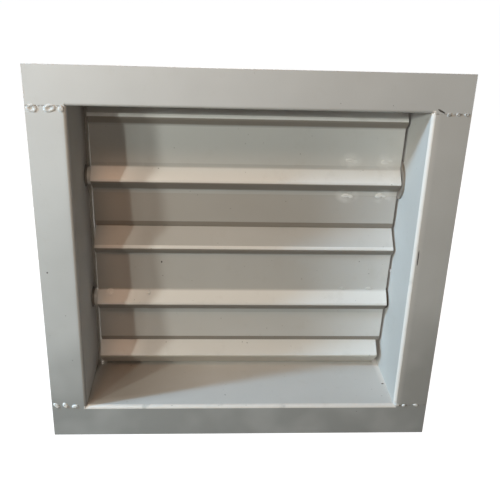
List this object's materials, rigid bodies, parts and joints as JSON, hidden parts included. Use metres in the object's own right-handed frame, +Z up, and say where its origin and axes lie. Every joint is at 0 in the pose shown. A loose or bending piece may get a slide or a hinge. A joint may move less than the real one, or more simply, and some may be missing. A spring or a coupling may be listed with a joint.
{
  "type": "motorized damper",
  "caption": "Rectangular flanged air damper with parallel folded blades on stub shafts, a side crank linkage and a direct-coupled electric drive that turns them open and shut.",
  "frame": {"origin": "centre of the duct opening, in the plane of the front flange", "axes": "+X to the right seen from the front, +Y back along the airway, +Z up"},
  "size_m": [0.4255, 0.17, 0.39],
  "materials": {
    "casing_paint": "satin",
    "blade_paint": "satin",
    "zinc_steel": "satin",
    "bush_plastic": "matte",
    "drive_shell": "matte",
    "drive_mark": "matte"
  },
  "bodies": {
    "casing": {"frame_top": "casing_paint", "frame_bottom": "casing_paint", "frame_left": "casing_paint", "frame_right": "casing_paint", "top_stop": "casing_paint", "bottom_stop": "casing_paint", "left_side_seal": "zinc_steel", "drive_bearing": "bush_plastic", "upper_left_bush": "bush_plastic", "lower_left_bush": "bush_plastic", "lower_right_bush": "bush_plastic", "actuator_base": "drive_shell", "actuator_cover": "drive_shell", "cover_screws": "zinc_steel", "cable_gland": "drive_shell", "anti_rotation_strap": "zinc_steel", "strap_screws": "zinc_steel", "gear_plate": "zinc_steel", "plate_screws": "zinc_steel", "gear_arbor": "zinc_steel", "motor": "zinc_steel"},
    "upper_blade_set": {"upper_blade": "blade_paint", "upper_left_saddle": "blade_paint", "upper_right_saddle": "blade_paint", "drive_shaft": "zinc_steel", "upper_left_shaft": "zinc_steel", "upper_crank": "zinc_steel", "upper_grub_screw": "zinc_steel", "upper_crank_pin": "zinc_steel", "upper_pin_clip": "zinc_steel", "output_hub": "zinc_steel", "clamp_bolt": "zinc_steel", "clamp_nuts": "zinc_steel", "position_pointer": "drive_mark", "output_gear": "zinc_steel"},
    "lower_blade_set": {"lower_blade": "blade_paint", "lower_left_saddle": "blade_paint", "lower_right_saddle": "blade_paint", "lower_left_shaft": "zinc_steel", "lower_right_shaft": "zinc_steel", "lower_crank": "zinc_steel", "lower_grub_screw": "zinc_steel", "lower_crank_pin": "zinc_steel", "lower_pin_clip": "zinc_steel", "shaft_collar": "zinc_steel", "collar_grub_screw": "zinc_steel"},
    "link": {"link_bar": "zinc_steel"},
    "button": {"release_button": "drive_mark"},
    "second_gear_set": {"second_gear": "bush_plastic"},
    "motor_rotor": {"motor_pinion": "zinc_steel"}
  },
  "joints": [
    {"name": "upper_blade_turn", "type": "hinge", "parent": "casing", "child": "upper_blade_set", "pos_m": [0, 0.08, 0.07], "axis": [-1, 0, 0], "range_deg": [0, 90]},
    {"name": "lower_blade_turn", "type": "hinge", "parent": "casing", "child": "lower_blade_set", "pos_m": [0, 0.08, -0.07], "axis": [-1, 0, 0], "range_deg": [0, 90]},
    {"name": "link_pivot", "type": "hinge", "parent": "upper_blade_set", "child": "link", "pos_m": [-0.175, 0.10828, 0.09828], "axis": [-1, 0, 0], "range_deg": [-90, 0]},
    {"name": "button_press", "type": "slide", "parent": "casing", "child": "button", "axis": [-1, 0, 0], "range_m": [0, 0.003], "stiffness_N_per_m": 400},
    {"name": "second_gear_turn", "type": "hinge", "parent": "casing", "child": "second_gear_set", "pos_m": [0.182, 0.07275, 0.04295], "axis": [-1, 0, 0], "range_deg": [-330, 0]},
    {"name": "motor_turn", "type": "hinge", "parent": "casing", "child": "motor_rotor", "pos_m": [0.186, 0.07581, 0.02562], "axis": [-1, 0, 0], "range_deg": [0, 880]}
  ],
  "couplings": [
    {"joint": "lower_blade_turn", "follows": "upper_blade_turn", "ratio": 1},
    {"joint": "link_pivot", "follows": "upper_blade_turn", "ratio": -1},
    {"joint": "second_gear_turn", "follows": "upper_blade_turn", "ratio": -3.6667},
    {"joint": "motor_turn", "follows": "upper_blade_turn", "ratio": 9.7778}
  ]
}
